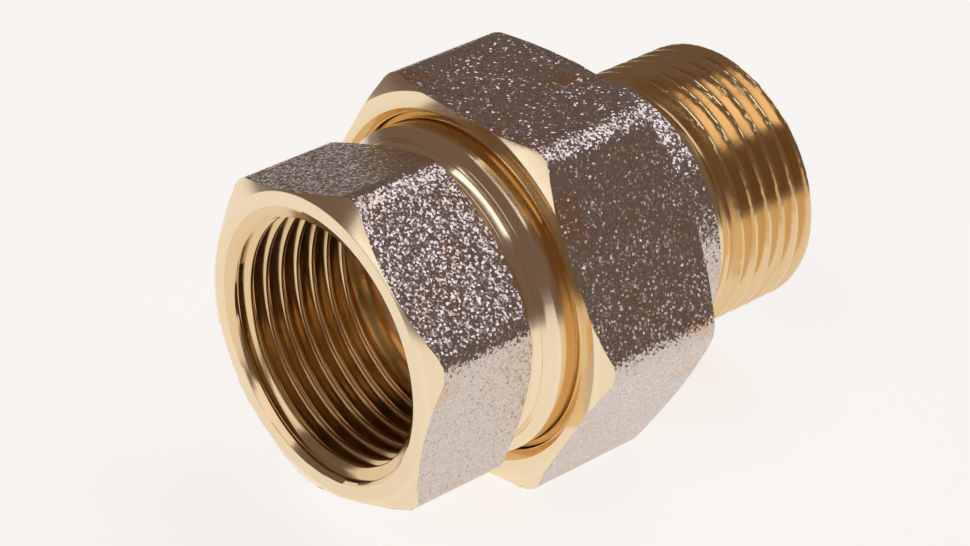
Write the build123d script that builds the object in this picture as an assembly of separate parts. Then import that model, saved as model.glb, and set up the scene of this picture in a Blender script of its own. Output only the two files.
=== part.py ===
from build123d import *
import math
import os

# Pipe union, 3/4 inch, female by male, flat sealing. Lengths are in millimetres.
# The pipe axis is X: x = 0 is the open face of the female end and +X runs to the male end.
# +Z is the normal of the nut's upper flat, so the union lies on the nut's lower flat.

# 3/4 inch Whitworth pipe thread, 14 turns per inch, used at both ends
pipe_pitch = 25.4 / 14
pipe_major_r = 26.44 / 2
pipe_minor_r = 24.12 / 2
# G1 union thread, 11 turns per inch, between the body and the nut
union_major_r = 33.25 / 2
running_clearance = 0.07
thread_half_angle = 27.5
thread_root_flat = 0.16
wrench_chamfer_angle = 30

# Female body: hexagon, neck and union thread spigot
body_flats = 30.0
body_corner_radius = 2.7
body_turn = -17.3
body_face_r = 14.83
body_flats_end = 12.3
body_hex_end = 12.6
body_neck_r = 15.0
body_neck_end_r = 15.12
body_neck_end = 14.5
body_line_x = 13.9
body_line_depth = 0.12
body_land_r = 16.05
body_land_start = 15.1
body_land_end = 17.4
body_end = 25.0
body_end_chamfer = 1.1
port_mouth_r = 13.5
port_thread_turns = 7
port_relief_length = 2.0
passage_r = 10.2
edge_break = 0.4

# Union nut
nut_flats = 36.5
nut_corner_radius = 2.87
nut_start = 16.5
nut_face_r = 18.93
nut_flats_end = 31.3
nut_end = 32.2
nut_mouth_r = 17.35
nut_bore_r = union_major_r + running_clearance

# Flat gasket for a G1 union nut
gasket_outer_r = 15.0
gasket_inner_r = 10.5
gasket_thickness = 2.0

# Male tail: flange, journal under the nut's wall, forged collar and threaded end
flange_r = 14.95
flange_thickness = 3.0
journal_r = 13.9
collar_r = 13.7
collar_end = 38.0
relief_r = 11.95
thread_start = 40.1
tail_thread_turns = 5
tail_end = 50.75
tail_end_chamfer = 0.4
tail_bore_r = 10.0

# Stock runs this far past what is turned from it; a hexagon's corner is under 1.2 of its half flats
stock_overshoot = 1.0
corner_allowance = 1.2

gasket_end = body_end + gasket_thickness
flange_end = gasket_end + flange_thickness
nut_hole_r = journal_r + running_clearance
thread_depth = pipe_major_r - pipe_minor_r
flank_run = thread_depth * math.tan(math.radians(thread_half_angle))
port_mouth_depth = port_mouth_r - pipe_minor_r
port_thread_end = port_mouth_depth + port_thread_turns * pipe_pitch


def turned(outline):
    """A solid of revolution about the pipe axis from (x, radius) corners."""
    face = make_face(Polyline(*outline, close=True))
    return revolve(face, axis=Axis.X)


def ring_of(x_start, x_end, inner_r, outer_r):
    return turned([(x_start, inner_r), (x_end, inner_r), (x_end, outer_r), (x_start, outer_r)])


def thread_grooves(x_start, turns, crest_r, root_r):
    """Corners of a row of V grooves, one per pitch, each starting with a crest flat."""
    crest_flat = pipe_pitch - 2 * flank_run - thread_root_flat
    corners = []
    for turn in range(turns):
        x = x_start + turn * pipe_pitch
        corners.append((x, crest_r))
        corners.append((x + crest_flat, crest_r))
        corners.append((x + crest_flat + flank_run, root_r))
        corners.append((x + crest_flat + flank_run + thread_root_flat, root_r))
    corners.append((x_start + turns * pipe_pitch, crest_r))
    return corners


def forged_hexagon(across_flats, corner_radius, x_start, x_end, turn):
    """A hexagonal bar along X with rounded corners, its first flat turned about X from +Z."""
    outline = RegularPolygon(across_flats / 2, 6, major_radius=False)
    rounded = fillet(outline.vertices(), corner_radius)
    bar = extrude(Plane.YZ.offset(x_start) * rounded, x_end - x_start)
    return Rot(X=turn) * bar


def wrench_envelope(x_start, start_r, x_flats_end, x_end, flat_r):
    """Outline corners that chamfer both ends of a hexagon at the wrench chamfer angle."""
    slope = math.tan(math.radians(wrench_chamfer_angle))
    top_r = flat_r * corner_allowance
    x_front = x_start + (top_r - start_r) * slope
    x_back = x_flats_end - (top_r - flat_r) * slope
    back_r = flat_r - (x_end - x_flats_end) / slope
    return [(x_start, start_r), (x_front, top_r), (x_back, top_r), (x_end, back_r)]


def female_body():
    outside = wrench_envelope(0, body_face_r, body_flats_end, body_hex_end, body_flats / 2)
    outside += [
        (body_hex_end + edge_break, body_neck_r),
        (body_line_x - body_line_depth, body_neck_r), (body_line_x, body_neck_r - body_line_depth),
        (body_line_x + body_line_depth, body_neck_r), (body_neck_end, body_neck_end_r),
        (body_land_start, body_land_r), (body_land_end, body_land_r),
        (body_land_end + union_major_r - body_land_r, union_major_r),
        (body_end - body_end_chamfer, union_major_r),
        (body_end, union_major_r - body_end_chamfer),
    ]
    relief_end = port_thread_end + port_relief_length
    port = [(0, port_mouth_r)]
    port += thread_grooves(port_mouth_depth, port_thread_turns, pipe_minor_r, pipe_major_r)
    port += [(port_thread_end, pipe_major_r), (relief_end, pipe_major_r)]
    port += [(relief_end + thread_depth, passage_r)]
    port += [(body_end - edge_break, passage_r), (body_end, passage_r + edge_break)]
    blank = turned(outside + port[::-1])
    hexagon = forged_hexagon(body_flats, body_corner_radius, -stock_overshoot, body_hex_end, body_turn)
    inner_r = passage_r - stock_overshoot
    round_stock = ring_of(body_hex_end, body_end + stock_overshoot, inner_r, nut_flats / 2)
    return blank & (hexagon + round_stock)


def union_nut():
    outside = wrench_envelope(nut_start, nut_face_r, nut_flats_end, nut_end, nut_flats / 2)
    mouth_depth = nut_mouth_r - nut_bore_r
    bore = [
        (nut_start, nut_mouth_r), (nut_start + mouth_depth, nut_bore_r), (flange_end, nut_bore_r),
        (flange_end, nut_hole_r), (nut_end - edge_break, nut_hole_r), (nut_end, nut_hole_r + edge_break),
    ]
    blank = turned(outside + bore[::-1])
    bar_start = nut_start - stock_overshoot
    bar_end = nut_end + stock_overshoot
    return blank & forged_hexagon(nut_flats, nut_corner_radius, bar_start, bar_end, 0)


def gasket():
    return ring_of(body_end, gasket_end, gasket_inner_r, gasket_outer_r)


def male_tail():
    outline = [(gasket_end, tail_bore_r + edge_break), (gasket_end, flange_r - edge_break)]
    outline += [(gasket_end + edge_break, flange_r), (flange_end, flange_r), (flange_end, journal_r)]
    outline += [(nut_end + edge_break, journal_r), (nut_end + 2 * edge_break, collar_r)]
    outline += [(collar_end - edge_break, collar_r), (collar_end, collar_r - edge_break)]
    outline += [(collar_end, relief_r), (thread_start - thread_depth, relief_r)]
    outline += thread_grooves(thread_start, tail_thread_turns, pipe_major_r, pipe_minor_r)
    outline += [(tail_end - tail_end_chamfer, pipe_major_r), (tail_end, pipe_major_r - tail_end_chamfer)]
    outline += [(tail_end, tail_bore_r + edge_break)]
    outline += [(tail_end - edge_break, tail_bore_r), (gasket_end + edge_break, tail_bore_r)]
    return turned(outline)


parts = {
    "female_body": female_body(),
    "union_nut": union_nut(),
    "gasket": gasket(),
    "male_tail": male_tail(),
}

os.makedirs("parts", exist_ok=True)
for node, shape in parts.items():
    export_step(shape, f"parts/{node}.step")
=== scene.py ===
import math
import bmesh
import bpy
import numpy as np
from mathutils import Matrix, Quaternion, Vector


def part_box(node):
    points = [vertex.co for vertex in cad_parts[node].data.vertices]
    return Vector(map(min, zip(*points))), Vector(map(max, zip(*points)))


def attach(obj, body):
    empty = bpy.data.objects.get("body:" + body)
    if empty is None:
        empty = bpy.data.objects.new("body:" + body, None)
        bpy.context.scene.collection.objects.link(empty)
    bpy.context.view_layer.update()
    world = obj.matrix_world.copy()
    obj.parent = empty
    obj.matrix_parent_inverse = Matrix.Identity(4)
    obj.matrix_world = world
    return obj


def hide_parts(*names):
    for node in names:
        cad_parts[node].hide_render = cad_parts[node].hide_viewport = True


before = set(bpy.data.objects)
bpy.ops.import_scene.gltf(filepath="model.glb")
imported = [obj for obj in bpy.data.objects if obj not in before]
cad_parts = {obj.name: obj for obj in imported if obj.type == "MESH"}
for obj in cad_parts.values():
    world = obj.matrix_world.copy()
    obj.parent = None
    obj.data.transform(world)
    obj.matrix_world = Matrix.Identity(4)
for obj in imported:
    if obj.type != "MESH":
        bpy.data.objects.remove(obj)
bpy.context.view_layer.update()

mm = 0.001


def xAt(node, end):
    # end 0 is a node's lowest x and 1 its highest, in millimetres
    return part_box(node)[end].x / mm


def hexagonColumns(d):
    # Angles round the pipe axis, and at each the radius of a hexagon with round corners. On a flat
    # the radius is half the flats over the cosine of the angle from the flat's middle; on a corner
    # it is where the ray meets the corner's circle. The last column repeats the first.
    half, cornerR = d["flats"] / 2, d["cornerRadius"]
    centre = (half - cornerR) / math.cos(math.pi / 6)
    flatHalf = math.atan2((half - cornerR) * math.tan(math.pi / 6), half)
    onFlat = np.linspace(-flatHalf, flatHalf, d["perFlat"], endpoint=False)
    onCorner = np.linspace(flatHalf, math.pi / 3 - flatHalf, d["perCorner"], endpoint=False)
    fromCorner = onCorner - math.pi / 6
    chord = cornerR ** 2 - (centre * np.sin(fromCorner)) ** 2
    sector = np.concatenate([onFlat, onCorner])
    sectorRadius = np.concatenate([half / np.cos(onFlat), centre * np.cos(fromCorner) + np.sqrt(chord)])
    starts = math.radians(d["firstFlat"]) + np.arange(6) * math.pi / 3
    angles = (starts[:, None] + sector[None, :]).ravel()
    radii = np.tile(sectorRadius, 6)
    return np.append(angles, angles[0] + 2 * math.pi), np.append(radii, radii[0])


def roundColumns(count):
    # evenly spaced angles, the last one a full turn after the first
    return np.linspace(0, 2 * math.pi, count + 1)


def turnedRows(corners, columns, edgeBreak):
    # An outline in the plane through the axis, one row of the surface per corner. Each inner
    # corner becomes three rows on a parabola that starts and ends edgeBreak from the corner, or
    # a little under half way along an arm that is shorter.
    rows = np.array([[np.broadcast_to(np.asarray(v, float), columns) for v in c] for c in corners])
    before = rows[:-2] - rows[1:-1]
    after = rows[2:] - rows[1:-1]
    mostOfArm, tiny = 0.45, 1e-9
    share = []
    for arm in (before, after):
        length = np.maximum(np.hypot(arm[:, 0], arm[:, 1]), tiny)[:, None]
        share.append(arm / length * np.minimum(edgeBreak, mostOfArm * length))
    corner = rows[1:-1]
    first = corner + share[0]
    last = corner + share[1]
    middle = (first + 2 * corner + last) / 4
    inner = np.stack([first, middle, last], axis=1).reshape(-1, 2, columns)
    return np.concatenate([rows[:1], inner, rows[-1:]])


def forgedRows(front, back, hexR, ragged):
    # Rows along a hexagon from its front chamfer to its back one, closer together near the ends.
    # x runs from front to back in proportion, and the two end rows wander by the ragged amount.
    share = np.array([0, 0.02, 0.06, 0.14, 0.3, 0.5, 0.7, 0.86, 0.94, 0.98, 1.0])[:, None]
    x = front + (back - front) * share
    wander = np.where((share == 0) | (share == 1), 1.0, 0.0) * ragged
    return np.stack([x + wander, np.broadcast_to(hexR, x.shape)], axis=1)


def raggedEdge(columns, amount, seed):
    # smooth noise round the turn, closed on itself: a third of twice a column's own white noise
    # plus its two neighbours'
    raw = np.random.default_rng(seed).normal(0, amount, columns - 1)
    smooth = (np.roll(raw, 1) + 2 * raw + np.roll(raw, -1)) / 3
    return np.append(smooth, smooth[0])


def alongX(*points):
    # radius of a plain outline at any x, straight between its (x, radius) points
    xs, rs = np.array(points, float).T
    return lambda x: np.interp(x, xs, rs)


def threadForm(crestFlat, rootFlat):
    # Height of a thread against the distance from its crest line, both as shares of a pitch and
    # of the depth: a flat crest, straight flanks and a flat root half a pitch away, with rounded
    # changes between them. The third place is the crest's edge.
    softening, halfPitch = 0.03, 0.5
    rootEdge = halfPitch - rootFlat
    distance = np.array([0, crestFlat - softening, crestFlat, crestFlat + softening,
                         (crestFlat + rootEdge) / 2, rootEdge - softening,
                         rootEdge, rootEdge + softening, halfPitch])
    drop = softening / (rootEdge - crestFlat)
    height = np.array([1, 1, 1 - drop / 4, 1 - drop, 0.5, drop, drop / 4, 0, 0])
    return distance, height


def threadRows(spec, angles, outside):
    # Rows that follow a right-hand helix. A row's x is the first crest's place plus pitch times (its
    # own turns plus the angle over a full turn), held between the thread's two ends. Its radius
    # falls from crest to root with its distance from the crest line, a burr along both edges of
    # the crest is ragged from one column to the next, then the envelope of the plain part trims it.
    # The burr is drawn for each column alone, so it doesn't match across the seam.
    places, heights = threadForm(*spec["form"])
    spareTurns, edgeWidth, burrSpread = 2, 0.01, (0.2, 1.8)
    share = np.concatenate([-places[::-1], places[1:-1]])
    first = math.floor((spec["start"] - spec["crestAt"]) / spec["pitch"]) - spareTurns
    last = math.ceil((spec["end"] - spec["crestAt"]) / spec["pitch"]) + spareTurns
    phase = (np.arange(first, last)[:, None] + share[None, :]).ravel()
    turnShare = angles / (2 * math.pi)
    x = spec["crestAt"] + spec["pitch"] * (phase[:, None] + turnShare[None, :])
    x = np.clip(x, spec["start"], spec["end"])
    place = (x - spec["crestAt"]) / spec["pitch"] - turnShare[None, :]
    fromCrest = np.abs(place - np.round(place))
    root = spec["root"](x)
    towardsCrest = spec["crest"] - root
    r = root + towardsCrest * np.interp(fromCrest, places, heights)
    burr = np.random.default_rng(spec["seed"]).uniform(*burrSpread, x.shape) * spec["burr"]
    r = r + np.where(np.abs(fromCrest - places[2]) < edgeWidth, burr, 0) * np.sign(towardsCrest)
    r = np.minimum(r, spec["envelope"](x)) if outside else np.maximum(r, spec["envelope"](x))
    return np.stack([x, r], axis=1)


def revolvedPiece(name, blocks, angles):
    # Joins the row blocks end to end into one closed skin. A vertex at column angle a and radius r
    # is at y = r cos a, z = r sin a. Columns and rows that meet are merged, which closes the seams,
    # except for short slits where a thread's burr differs across one.
    mergeWithin, sharpFrom = 0.002 * mm, math.radians(38)
    rows = np.concatenate([block for block, finish in blocks])
    finishes = np.concatenate([np.full(len(block), finish) for block, finish in blocks])
    count, columns = len(rows), len(angles)
    x = rows[:, 0, :]
    r = rows[:, 1, :]
    points = np.stack([x, r * np.cos(angles), r * np.sin(angles)], axis=2).reshape(-1, 3) * mm
    row = np.arange(count)[:, None]
    nextRow = (row + 1) % count
    col = np.arange(columns - 1)
    quads = np.stack([row * columns + col, row * columns + col + 1,
                      nextRow * columns + col + 1, nextRow * columns + col], axis=2).reshape(-1, 4)
    mesh = bpy.data.meshes.new(name)
    mesh.vertices.add(len(points))
    mesh.vertices.foreach_set("co", points.ravel())
    mesh.loops.add(quads.size)
    mesh.loops.foreach_set("vertex_index", quads.ravel())
    mesh.polygons.add(len(quads))
    mesh.polygons.foreach_set("loop_start", np.arange(0, quads.size, 4))
    mesh.polygons.foreach_set("loop_total", np.full(len(quads), 4))
    mesh.polygons.foreach_set("material_index", np.repeat(finishes, columns - 1).astype(np.int32))
    mesh.update()
    skin = bmesh.new()
    skin.from_mesh(mesh)
    bmesh.ops.remove_doubles(skin, verts=skin.verts, dist=mergeWithin)
    bmesh.ops.dissolve_degenerate(skin, edges=skin.edges, dist=mergeWithin)
    if skin.calc_volume(signed=True) < 0:
        bmesh.ops.reverse_faces(skin, faces=skin.faces)
    for face in skin.faces:
        face.smooth = True
    triangles = sum(len(face.verts) - 2 for face in skin.faces)
    skin.to_mesh(mesh)
    skin.free()
    mesh.set_sharp_from_angle(angle=sharpFrom)
    piece = bpy.data.objects.new(name, mesh)
    bpy.context.scene.collection.objects.link(piece)
    print(name, triangles, "triangles")
    return piece


def colour(code):
    # sRGB hex to linear
    values = [int(code[i:i + 2], 16) / 255 for i in (1, 3, 5)]
    return tuple(v / 12.92 if v <= 0.04045 else ((v + 0.055) / 1.055) ** 2.4 for v in values) + (1.0,)


def addNode(tree, kind, settings=None, inputs=None):
    # a node with its settings, and its inputs either set to a value or linked to (node, output)
    node = tree.nodes.new(kind)
    for name, value in (settings or {}).items():
        setattr(node, name, value)
    for name, value in (inputs or {}).items():
        if isinstance(value, tuple) and isinstance(value[0], bpy.types.Node):
            tree.links.new(value[0].outputs[value[1]], node.inputs[name])
        else:
            node.inputs[name].default_value = value
    return node


def newMaterial(name):
    material = bpy.data.materials.new(name)
    material.use_nodes = True
    material.node_tree.nodes.clear()
    return material, material.node_tree


def scaleFor(sizeMm):
    # pattern scale, in cells per metre, of a pattern whose cells are sizeMm across
    return 1 / (sizeMm * mm)


# Turned brass: free-machining brass cut on a lathe. The tool leaves fine rings round the axis, so
# a highlight stays sharp along the cut and blurs a little across it. Light cream where it mirrors
# something white, golden only where the light has bounced from brass to brass. The rings of a
# fine cut can be closer than this; they are drawn as coarse as they need to show.
turnedBrassLook = {
    "light": "#F6E4C6", "deep": "#F1DAB4", "bandMm": 1.4, "bandSpread": (0.3, 0.7),
    "roughness": (0.10, 0.20), "patchMm": 3.5, "patchSpread": (0.3, 0.7),
    "ringMm": 0.16, "ringDepthMm": 0.0011, "wander": 0.0015,
}

# The same brass where a threading tool cut it: warmer, with coarser tool marks.
cutBrassLook = turnedBrassLook | {
    "light": "#EBD0A6", "deep": "#E3C494", "ringMm": 0.22, "ringDepthMm": 0.002, "roughness": (0.10, 0.20)}


def turnedBrass(name, look):
    material, tree = newMaterial(name)
    place = addNode(tree, "ShaderNodeTexCoord")
    xyz = addNode(tree, "ShaderNodeSeparateXYZ", {}, {"Vector": (place, "Object")})
    ySquared = addNode(tree, "ShaderNodeMath", {"operation": "MULTIPLY"}, {0: (xyz, "Y"), 1: (xyz, "Y")})
    square = addNode(tree, "ShaderNodeMath", {"operation": "MULTIPLY_ADD"},
                     {0: (xyz, "Z"), 1: (xyz, "Z"), 2: (ySquared, 0)})
    radius = addNode(tree, "ShaderNodeMath", {"operation": "SQRT"}, {0: (square, 0)})
    # x and radius change across a cut; a little of y and z makes the rings drift round the turn
    ring = addNode(tree, "ShaderNodeCombineXYZ", {}, {"X": (xyz, "X"), "Y": (radius, 0), "Z": 0.0})
    drift = addNode(tree, "ShaderNodeVectorMath", {"operation": "MULTIPLY_ADD"},
                    {0: (place, "Object"), 1: (0.0, look["wander"], look["wander"]), 2: (ring, 0)})
    fine = addNode(tree, "ShaderNodeTexNoise", {}, {
        "Vector": (drift, 0), "Scale": scaleFor(look["ringMm"]), "Detail": 2.0})
    band = addNode(tree, "ShaderNodeTexNoise", {}, {
        "Vector": (drift, 0), "Scale": scaleFor(look["bandMm"]), "Detail": 3.0})
    patch = addNode(tree, "ShaderNodeTexNoise", {}, {
        "Vector": (place, "Object"), "Scale": scaleFor(look["patchMm"]), "Detail": 2.0})
    bandShare = addNode(tree, "ShaderNodeMapRange", {}, {
        "Value": (band, "Fac"), "From Min": look["bandSpread"][0], "From Max": look["bandSpread"][1]})
    tone = addNode(tree, "ShaderNodeMix", {"data_type": "RGBA"}, {
        "Factor": (bandShare, 0), 6: colour(look["deep"]), 7: colour(look["light"])})
    rough = addNode(tree, "ShaderNodeMapRange", {}, {
        "Value": (patch, "Fac"), "From Min": look["patchSpread"][0], "From Max": look["patchSpread"][1],
        "To Min": look["roughness"][0], "To Max": look["roughness"][1]})
    bump = addNode(tree, "ShaderNodeBump", {}, {
        "Height": (fine, "Fac"), "Strength": 1.0, "Distance": look["ringDepthMm"] * mm})
    shader = addNode(tree, "ShaderNodeBsdfPrincipled", {}, {
        "Base Color": (tone, 2), "Metallic": 1.0, "Roughness": (rough, 0), "Normal": (bump, 0)})
    addNode(tree, "ShaderNodeOutputMaterial", {}, {"Surface": (shader, 0)})
    return material


# Nickel-plated hot stamping, shot-blasted: the shot leaves small facets about 0.2 mm across, each
# tilted its own way, so a dark flat glitters where a facet happens to face the lamp.
blastedLook = {
    # pit is a darker tone painted into the low places of the pits' bump: painted shade in the pits
    "skin": "#DDD1C8", "pitShade": "#C9BBB2", "pitMm": 0.20, "pitDepthMm": 0.012, "pitSpread": (0.35, 0.65),
    "facetMm": 0.20, "facetTilt": 0.34, "roughness": (0.14, 0.28),
    "brass": "#D9A870", "stainMm": 5.0, "stainSpread": (0.58, 0.72), "stainMost": 0.45,
}


def blastedNickel(name, look):
    material, tree = newMaterial(name)
    place = addNode(tree, "ShaderNodeTexCoord")
    # facets: cells of a jittered grid; two random colours per cell add up to a tilt that is most
    # often small, and the tilt is added to the surface's normal
    cells = addNode(tree, "ShaderNodeTexVoronoi", {}, {
        "Vector": (place, "Object"), "Scale": scaleFor(look["facetMm"]), "Randomness": 1.0})
    second = addNode(tree, "ShaderNodeTexWhiteNoise", {}, {"Vector": (cells, "Position")})
    both = addNode(tree, "ShaderNodeVectorMath", {"operation": "ADD"},
                   {0: (cells, "Color"), 1: (second, "Color")})
    centred = addNode(tree, "ShaderNodeVectorMath", {"operation": "SUBTRACT"},
                      {0: (both, 0), 1: (1.0, 1.0, 1.0)})
    tilt = addNode(tree, "ShaderNodeVectorMath", {"operation": "SCALE"},
                   {0: (centred, 0), "Scale": look["facetTilt"]})
    pits = addNode(tree, "ShaderNodeTexNoise", {}, {
        "Vector": (place, "Object"), "Scale": scaleFor(look["pitMm"]), "Detail": 1.0})
    bump = addNode(tree, "ShaderNodeBump", {}, {
        "Height": (pits, "Fac"), "Strength": 1.0, "Distance": look["pitDepthMm"] * mm})
    tilted = addNode(tree, "ShaderNodeVectorMath", {"operation": "ADD"}, {0: (bump, 0), 1: (tilt, 0)})
    facing = addNode(tree, "ShaderNodeVectorMath", {"operation": "NORMALIZE"}, {0: (tilted, 0)})
    # where the pits' bump is low the tone darkens from skin towards pit: painted shade in the pits
    unshadedShare = addNode(tree, "ShaderNodeMapRange", {}, {
        "Value": (pits, "Fac"), "From Min": look["pitSpread"][0], "From Max": look["pitSpread"][1]})
    tone = addNode(tree, "ShaderNodeMix", {"data_type": "RGBA"}, {
        "Factor": (unshadedShare, 0), 6: colour(look["pitShade"]), 7: colour(look["skin"])})
    # brass shows faintly through the plating in a few worn patches
    worn = addNode(tree, "ShaderNodeTexNoise", {}, {
        "Vector": (place, "Object"), "Scale": scaleFor(look["stainMm"]), "Detail": 3.0})
    wornShare = addNode(tree, "ShaderNodeMapRange", {}, {
        "Value": (worn, "Fac"), "From Min": look["stainSpread"][0], "From Max": look["stainSpread"][1],
        "To Min": 0.0, "To Max": look["stainMost"]})
    stained = addNode(tree, "ShaderNodeMix", {"data_type": "RGBA"}, {
        "Factor": (wornShare, 0), 6: (tone, 2), 7: colour(look["brass"])})
    rough = addNode(tree, "ShaderNodeMapRange", {}, {
        "Value": (second, "Value"), "To Min": look["roughness"][0], "To Max": look["roughness"][1]})
    shader = addNode(tree, "ShaderNodeBsdfPrincipled", {}, {
        "Base Color": (stained, 2), "Metallic": 1.0, "Roughness": (rough, 0), "Normal": (facing, 0)})
    addNode(tree, "ShaderNodeOutputMaterial", {}, {"Surface": (shader, 0)})
    return material


# Pressed fibre: green sealing sheet with short fibres, matt.
fibreLook = {"deep": "#2E4A38", "light": "#557A5E", "fibreMm": 0.35, "fibreSpread": (0.35, 0.7),
             "twist": 1.5, "depthMm": 0.03, "roughness": 0.75}


def pressedFibre(name, look):
    material, tree = newMaterial(name)
    place = addNode(tree, "ShaderNodeTexCoord")
    fibre = addNode(tree, "ShaderNodeTexNoise", {}, {
        "Vector": (place, "Object"), "Scale": scaleFor(look["fibreMm"]), "Detail": 6.0,
        "Distortion": look["twist"]})
    share = addNode(tree, "ShaderNodeMapRange", {}, {
        "Value": (fibre, "Fac"), "From Min": look["fibreSpread"][0], "From Max": look["fibreSpread"][1]})
    tone = addNode(tree, "ShaderNodeMix", {"data_type": "RGBA"}, {
        "Factor": (share, 0), 6: colour(look["deep"]), 7: colour(look["light"])})
    bump = addNode(tree, "ShaderNodeBump", {}, {
        "Height": (fibre, "Fac"), "Distance": look["depthMm"] * mm})
    shader = addNode(tree, "ShaderNodeBsdfPrincipled", {}, {
        "Base Color": (tone, 2), "Roughness": look["roughness"], "Normal": (bump, 0)})
    addNode(tree, "ShaderNodeOutputMaterial", {}, {"Surface": (shader, 0)})
    return material


brass = turnedBrass("free-machining brass, turned", turnedBrassLook)
threadBrass = turnedBrass("free-machining brass, thread cut", cutBrassLook)
nickel = blastedNickel("nickel-plated brass, hot stamped and shot-blasted", blastedLook)
fibreSheet = pressedFibre("aramid fibre sheet, pressed", fibreLook)
print("materials made")

pipePitch = 25.4 / 14
unionPitch = 25.4 / 11
turned, cut, forged = 0, 1, 2     # places in a piece's list of materials

# Designs are in millimetres, with firstFlat in degrees. A thread's form is half the width of its
# crest and half the width of its root, as shares of a pitch.

bodyDesign = {
    "flats": 30.0, "cornerRadius": 2.7, "firstFlat": 72.7, "perFlat": 26, "perCorner": 22,
    "faceR": 14.83, "chamferSlope": 0.577, "flatsEnd": 12.3, "hexEnd": 12.6, "neckStart": 12.95,
    "neckR": 14.90, "neckEndR": 15.14, "neckEnd": 14.5, "lineX": 13.9, "lineHalf": 0.06,
    "lineDepth": 0.04, "landR": 16.05, "landStart": 15.1, "landEnd": 17.4, "spigotR": 16.62,
    "spigotRootR": 15.2, "spigotThreadX": 18.0, "spigotFullX": 19.0, "spigotChamfer": 1.1,
    "spigotCrestAt": 0.9, "spigotForm": (0.09, 0.09), "mouthR": 13.5, "mouthDepth": 0.85,
    "portMajorR": 13.2, "portMinorR": 12.06, "portThreadEnd": 14.1, "portCrestAt": 0.3,
    "portForm": (0.10, 0.08), "reliefEnd": 16.1, "reliefSlope": 1.1, "passageR": 10.2,
    "passageBreak": 0.4, "edgeBreak": 0.07, "ragged": 0.03, "seed": 4,
}


def femaleBody(d):
    # A closed outline on the hexagon's columns: face and ragged chamfer, forged flats, neck,
    # spigot's thread, seat and passage, then the port's thread back to the mouth. The front
    # chamfer's depth is its slope times how far the hexagon stands out past the face's circle.
    angles, hexR = hexagonColumns(d)
    n = len(angles)
    end = xAt("female_body", 1)
    ragged = raggedEdge(n, d["ragged"], d["seed"])
    chamfer = np.maximum(hexR - d["faceR"], 0) * d["chamferSlope"]
    backX = d["flatsEnd"] - (hexR - d["flats"] / 2) * d["chamferSlope"]
    backR = d["flats"] / 2 - (d["hexEnd"] - d["flatsEnd"]) / d["chamferSlope"]
    face = turnedRows([(0, d["mouthR"]), (0, np.minimum(d["faceR"], hexR)), (chamfer, hexR)],
                      n, d["edgeBreak"])
    flats = forgedRows(chamfer, backX, hexR, np.maximum(ragged, -chamfer))
    # the neck widens evenly towards the shoulder, with one fine turned line round it
    alongNeck = (d["lineX"] - d["neckStart"]) / (d["neckEnd"] - d["neckStart"])
    lineR = d["neckR"] + (d["neckEndR"] - d["neckR"]) * alongNeck
    neck = turnedRows([
        (backX, hexR), (d["hexEnd"], backR), (d["neckStart"], d["neckR"]),
        (d["lineX"] - d["lineHalf"], lineR), (d["lineX"], lineR - d["lineDepth"]),
        (d["lineX"] + d["lineHalf"], lineR), (d["neckEnd"], d["neckEndR"]),
        (d["landStart"], d["landR"]), (d["landEnd"], d["landR"]),
        (d["landEnd"] + d["spigotR"] - d["landR"], d["spigotR"]), (d["spigotThreadX"], d["spigotR"])],
        n, d["edgeBreak"])
    spigot = threadRows({
        "start": d["spigotThreadX"], "end": end, "pitch": unionPitch, "crestAt": d["spigotCrestAt"],
        "crest": d["spigotR"], "form": d["spigotForm"], "burr": 0.0, "seed": 1,
        "root": alongX((d["spigotThreadX"], d["spigotR"]), (d["spigotFullX"], d["spigotRootR"]),
                       (end, d["spigotRootR"])),
        "envelope": alongX((0, d["spigotR"]), (end - d["spigotChamfer"], d["spigotR"]),
                           (end, d["spigotR"] - d["spigotChamfer"]))}, angles, True)
    seat = turnedRows([
        (end, d["spigotRootR"]), (end, d["passageR"] + d["passageBreak"]),
        (end - d["passageBreak"], d["passageR"]), (d["reliefEnd"] + d["reliefSlope"], d["passageR"]),
        (d["reliefEnd"], d["portMajorR"]), (d["portThreadEnd"], d["portMajorR"])], n, d["edgeBreak"])
    port = threadRows({
        "start": 0, "end": d["portThreadEnd"], "pitch": pipePitch, "crestAt": d["portCrestAt"],
        "crest": d["portMinorR"], "form": d["portForm"], "burr": 0.0, "seed": 2,
        "root": alongX((0, d["portMajorR"]), (end, d["portMajorR"])),
        "envelope": alongX((0, d["mouthR"]), (d["mouthDepth"], d["portMinorR"]),
                           (end, d["portMinorR"]))}, angles, False)[::-1]
    return revolvedPiece("body_forging", [
        (face, turned), (flats, forged), (neck, turned), (spigot, cut), (seat, turned), (port, cut)], angles)


body = femaleBody(bodyDesign)

nutDesign = {
    "flats": 36.5, "cornerRadius": 2.87, "firstFlat": 90, "perFlat": 26, "perCorner": 22,
    "faceR": 18.93, "chamferSlope": 0.577, "flatsEnd": 31.3, "mouthR": 17.35, "mouthDepth": 0.8,
    "boreMinorR": 15.3, "boreMajorR": 16.69, "plainBore": 1.8, "leadIn": 3.4, "threadEnd": 26.5,
    "boreForm": (0.08, 0.12), "wallAt": 30.0, "holeR": 13.97, "holeBreak": 0.4, "edgeBreak": 0.07,
    "ragged": 0.035, "seed": 9,
}


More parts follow.
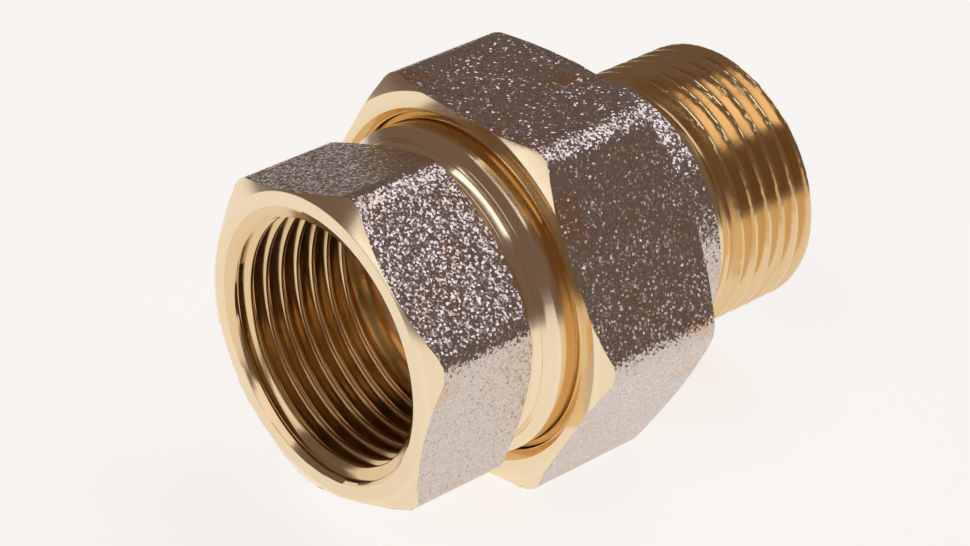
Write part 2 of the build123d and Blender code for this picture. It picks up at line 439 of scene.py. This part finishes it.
def unionNut(d, spigotCrestAt):
    # the same kind of outline: face and chamfer, flats, back wall and hole, then the bore's thread
    angles, hexR = hexagonColumns(d)
    n = len(angles)
    start, end = xAt("union_nut", 0), xAt("union_nut", 1)
    ragged = raggedEdge(n, d["ragged"], d["seed"])
    chamfer = np.maximum(hexR - d["faceR"], 0) * d["chamferSlope"]
    backX = d["flatsEnd"] - (hexR - d["flats"] / 2) * d["chamferSlope"]
    backR = d["flats"] / 2 - (end - d["flatsEnd"]) / d["chamferSlope"]
    face = turnedRows([(start, d["mouthR"]), (start, np.minimum(d["faceR"], hexR)),
                       (start + chamfer, hexR)], n, d["edgeBreak"])
    flats = forgedRows(start + chamfer, backX, hexR, np.maximum(ragged, -chamfer))
    back = turnedRows([
        (backX, hexR), (end, backR), (end, d["holeR"] + d["holeBreak"]),
        (end - d["holeBreak"], d["holeR"]), (d["wallAt"], d["holeR"]), (d["wallAt"], d["boreMajorR"]),
        (d["threadEnd"], d["boreMajorR"])], n, d["edgeBreak"])
    # its crests lie midway between the spigot's; a plain lead-in clears the spigot's run-out
    bore = threadRows({
        "start": start, "end": d["threadEnd"], "pitch": unionPitch,
        "crestAt": spigotCrestAt + unionPitch / 2, "crest": d["boreMinorR"],
        "form": d["boreForm"], "burr": 0.0, "seed": 3,
        "root": alongX((start, d["boreMajorR"]), (end, d["boreMajorR"])),
        "envelope": alongX((start, d["mouthR"]), (start + d["mouthDepth"], d["boreMajorR"]),
                           (start + d["plainBore"], d["boreMajorR"]),
                           (start + d["leadIn"], d["boreMinorR"]),
                           (end, d["boreMinorR"]))}, angles, False)[::-1]
    return revolvedPiece("nut_forging", [
        (face, turned), (flats, forged), (back, turned), (bore, cut)], angles)


nut = unionNut(nutDesign, bodyDesign["spigotCrestAt"])

tailDesign = {
    "columns": 300, "flangeR": 14.95, "flangeBreak": 0.4, "flangeEnd": 30.0, "journalR": 13.9,
    "journalEnd": 32.6, "collarR": 13.7, "collarStart": 33.0, "collarMiddle": 35.5,
    "collarEnd": 38.0, "collarBreak": 0.35, "reliefR": 12.25, "majorR": 13.22, "depth": 1.12,
    "threadStart": 39.5, "leadIn": 0.6, "firstCrest": 40.25, "form": (0.09, 0.07), "burr": 0.03,
    "overCrest": 0.1, "endR": 12.75, "endChamfer": 0.35, "boreR": 10.0, "boreBreak": 0.5,
    "edgeBreak": 0.07,
}


def maleTail(d):
    # an outline on even columns: flange and journal, forged collar, relief, pipe thread, bore
    angles = roundColumns(d["columns"])
    n = len(angles)
    start, end = xAt("male_tail", 0), xAt("male_tail", 1)
    rootR = d["majorR"] - d["depth"]
    clearR = d["majorR"] + d["overCrest"]
    front = turnedRows([
        (start, d["boreR"] + d["flangeBreak"]), (start, d["flangeR"] - d["flangeBreak"]),
        (start + d["flangeBreak"], d["flangeR"]), (d["flangeEnd"], d["flangeR"]),
        (d["flangeEnd"], d["journalR"]), (d["journalEnd"], d["journalR"]),
        (d["collarStart"], d["collarR"])], n, d["edgeBreak"])
    collar = turnedRows([
        (d["collarStart"], d["collarR"]), (d["collarMiddle"], d["collarR"]),
        (d["collarEnd"] - d["collarBreak"], d["collarR"])], n, d["edgeBreak"])
    neck = turnedRows([
        (d["collarEnd"] - d["collarBreak"], d["collarR"]),
        (d["collarEnd"], d["collarR"] - d["collarBreak"]),
        (d["collarEnd"], d["reliefR"]), (d["threadStart"], d["reliefR"])], n, d["edgeBreak"])
    thread = threadRows({
        "start": d["threadStart"], "end": end, "pitch": pipePitch, "crestAt": d["firstCrest"],
        "crest": d["majorR"], "form": d["form"], "burr": d["burr"], "seed": 5,
        "root": alongX((start, rootR), (end, rootR)),
        "envelope": alongX((d["threadStart"], d["reliefR"]), (d["threadStart"] + d["leadIn"], clearR),
                           (end - d["endChamfer"], clearR), (end, d["endR"]))}, angles, True)
    mouth = turnedRows([
        (end, rootR), (end, d["boreR"] + d["boreBreak"]), (end - d["boreBreak"], d["boreR"]),
        (start + d["flangeBreak"], d["boreR"]), (start, d["boreR"] + d["flangeBreak"])],
        n, d["edgeBreak"])
    return revolvedPiece("tail_turning", [
        (front, turned), (collar, forged), (neck, turned), (thread, cut), (mouth, turned)], angles)


tail = maleTail(tailDesign)

gasketDesign = {"columns": 128, "innerR": 10.5, "outerR": 15.0, "edgeBreak": 0.15}


def gasketRing(d):
    # a rectangle carried round the axis, with every corner but the first softened
    start, end = xAt("gasket", 0), xAt("gasket", 1)
    section = [(start, d["innerR"]), (start, d["outerR"]), (end, d["outerR"]), (end, d["innerR"]),
               (start, d["innerR"])]
    angles = roundColumns(d["columns"])
    return revolvedPiece("gasket_ring", [(turnedRows(section, len(angles), d["edgeBreak"]), 0)], angles)


ring = gasketRing(gasketDesign)

metals = (brass, threadBrass, nickel)
for piece, node, bodyName, finishes in (
        (body, "female_body", "female_body", metals), (nut, "union_nut", "union_nut", metals),
        (tail, "male_tail", "male_tail", metals), (ring, "gasket", "seal", (fibreSheet,))):
    for finish in finishes:
        piece.data.materials.append(finish)
    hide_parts(node)
    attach(piece, bodyName)
print("pieces ride on their bodies")

# Lengths in metres, but lens and sensor in millimetres and roll in degrees. glow is the table's
# own light near the union and dimGlow the light far from it.
studio = {
    "place": (-0.15456, -0.19286, 0.16024), "aim": (0.5719, 0.6309, -0.5244), "roll": 1.42,
    "lens": 121.5, "sensor": 36, "nearest": 0.01, "tableHalf": 1.2, "tableTone": "#B8B6B2",
    "tableGlow": "#FFFEFC", "tableRoughness": 0.6, "tableGloss": 0.1, "glow": 0.765, "dimGlow": 0.12,
    "glowRadius": 0.13, "dimRadius": 0.27, "room": "#726259", "roomSeen": "#E4E2DE",
    "panelDistance": 0.7,
}

# each panel's direction from the union, the axis its long side turns about, and its size
panels = {
    "key_panel": {"direction": (0.42, -0.09, 0.87), "turnAxis": (1, 0, 0), "size": (0.26, 0.72),
                  "radiance": 1.6, "tint": "#EAF0FF"},
    "fill_panel": {"direction": (-0.56, -0.09, 0.80), "turnAxis": (1, 0, 0), "size": (0.24, 0.60),
                   "radiance": 1.0, "tint": "#FFF6EC"},
    "left_panel": {"direction": (-0.96, 0.17, 0.18), "turnAxis": (0, 0, 1), "size": (0.18, 0.36),
                   "radiance": 1.0, "tint": "#F6FAFF"},
}


def makeCamera(s):
    camera = bpy.data.objects.new("camera", bpy.data.cameras.new("camera"))
    bpy.context.scene.collection.objects.link(camera)
    camera.data.lens = s["lens"]
    camera.data.sensor_width = s["sensor"]
    camera.data.clip_start = s["nearest"]
    camera.location = s["place"]
    camera.rotation_mode = "QUATERNION"
    roll = Quaternion((0, 0, 1), math.radians(s["roll"]))
    camera.rotation_quaternion = Vector(s["aim"]).to_track_quat("-Z", "Y") @ roll
    bpy.context.scene.camera = camera


def makeTable(s):
    # White acrylic, lit from below: it glows evenly round the union. What the metal mirrors fades
    # further out, and what the camera sees directly stays pale.
    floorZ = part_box("union_nut")[0].z
    half = s["tableHalf"]
    mesh = bpy.data.meshes.new("table_top")
    mesh.from_pydata([(-half, -half, floorZ), (half, -half, floorZ), (half, half, floorZ),
                      (-half, half, floorZ)], [], [(0, 1, 2, 3)])
    table = bpy.data.objects.new("table_top", mesh)
    bpy.context.scene.collection.objects.link(table)
    acrylic, tree = newMaterial("white acrylic, lit from below")
    place = addNode(tree, "ShaderNodeTexCoord")
    away = addNode(tree, "ShaderNodeVectorMath", {"operation": "LENGTH"}, {0: (place, "Object")})
    glow = addNode(tree, "ShaderNodeMapRange", {"interpolation_type": "SMOOTHSTEP"}, {
        "Value": (away, "Value"), "From Min": s["glowRadius"], "From Max": s["dimRadius"],
        "To Min": s["glow"], "To Max": s["dimGlow"]})
    rays = addNode(tree, "ShaderNodeLightPath")
    seen = addNode(tree, "ShaderNodeMath", {"operation": "MULTIPLY"},
                   {0: (rays, "Is Camera Ray"), 1: s["glow"]})
    shown = addNode(tree, "ShaderNodeMath", {"operation": "MAXIMUM"}, {0: (glow, 0), 1: (seen, 0)})
    surface = addNode(tree, "ShaderNodeBsdfPrincipled", {}, {
        "Base Color": colour(s["tableTone"]), "Roughness": s["tableRoughness"],
        "Specular IOR Level": s["tableGloss"], "Emission Color": colour(s["tableGlow"]),
        "Emission Strength": (shown, 0)})
    addNode(tree, "ShaderNodeOutputMaterial", {}, {"Surface": (surface, 0)})
    mesh.materials.append(acrylic)


def softPanel(name, p, distance):
    # An oblong lamp that faces the union's middle; power is radiance times pi times its area. Its
    # second side lies along an arc round the turn axis.
    lamp = bpy.data.lights.new(name, "AREA")
    lamp.shape = "RECTANGLE"
    lamp.size, lamp.size_y = p["size"]
    lamp.energy = p["radiance"] * math.pi * p["size"][0] * p["size"][1]
    lamp.color = colour(p["tint"])[:3]
    holder = bpy.data.objects.new(name, lamp)
    bpy.context.scene.collection.objects.link(holder)
    away = Vector(p["direction"]).normalized()
    along = Vector(p["turnAxis"]).cross(away).normalized()
    across = along.cross(away).normalized()
    holder.rotation_euler = Matrix((across, along, away)).transposed().to_euler()
    holder.location = Vector((xAt("female_body", 1) * mm, 0, 0)) + away * distance


def makeRoom(s):
    # a dark room in what the metal mirrors, a pale one where the camera looks past the table
    room = bpy.data.worlds.new("studio_room")
    bpy.context.scene.world = room
    room.use_nodes = True
    tree = room.node_tree
    tree.nodes.clear()
    rays = addNode(tree, "ShaderNodeLightPath")
    dark = addNode(tree, "ShaderNodeBackground", {}, {"Color": colour(s["room"])})
    pale = addNode(tree, "ShaderNodeBackground", {}, {"Color": colour(s["roomSeen"])})
    seen = addNode(tree, "ShaderNodeMixShader", {}, {0: (rays, "Is Camera Ray"), 1: (dark, 0), 2: (pale, 0)})
    addNode(tree, "ShaderNodeOutputWorld", {}, {"Surface": (seen, 0)})


makeCamera(studio)
makeTable(studio)
for name, panel in panels.items():
    softPanel(name, panel, studio["panelDistance"])
makeRoom(studio)
bpy.context.scene.view_settings.view_transform = "Standard"
print("studio set")
